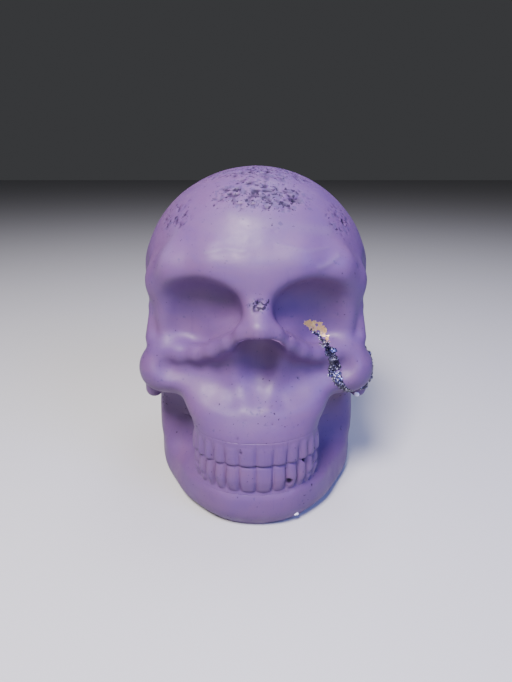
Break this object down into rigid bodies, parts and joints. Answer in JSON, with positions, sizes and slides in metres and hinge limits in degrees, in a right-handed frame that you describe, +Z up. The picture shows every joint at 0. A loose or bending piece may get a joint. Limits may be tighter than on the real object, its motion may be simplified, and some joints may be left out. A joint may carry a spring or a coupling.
{
  "type": "cast skull ornament",
  "caption": "Solid cast skull with clenched teeth that stands on the flat underside of its jaw, with glitter and gold leaf in its surface",
  "frame": {"origin": "middle of the bounding box in X and Y, on the plane that the skull stands on", "axes": "+Z up through the crown, -Y out of the face, +X to the skull's own left"},
  "size_m": [0.104, 0.1258, 0.142],
  "materials": {
    "casting": "satin waxy casting, marbled lavender and violet, with air pits",
    "teeth": "satin casting, pale lavender, worn smooth",
    "glitter": "dark crumbly glitter flakes set in the casting",
    "gold_leaf": "fine gold mica flake, rubbed into the casting"
  },
  "bodies": {
    "root": {"cranium": "casting", "mandible": "casting", "glitter_vein": "glitter", "glitter_clump": "glitter", "gold_leaf": "gold_leaf", "upper_left_central_incisor": "teeth", "upper_left_lateral_incisor": "teeth", "upper_left_canine": "teeth", "upper_left_first_premolar": "teeth", "upper_left_second_premolar": "teeth", "upper_left_first_molar": "teeth", "upper_right_central_incisor": "teeth", "upper_right_lateral_incisor": "teeth", "upper_right_canine": "teeth", "upper_right_first_premolar": "teeth", "upper_right_second_premolar": "teeth", "upper_right_first_molar": "teeth", "lower_left_central_incisor": "teeth", "lower_left_lateral_incisor": "teeth", "lower_left_canine": "teeth", "lower_left_first_premolar": "teeth", "lower_left_second_premolar": "teeth", "lower_left_first_molar": "teeth", "lower_right_central_incisor": "teeth", "lower_right_lateral_incisor": "teeth", "lower_right_canine": "teeth", "lower_right_first_premolar": "teeth", "lower_right_second_premolar": "teeth", "lower_right_first_molar": "teeth"}
  },
  "joints": []
}
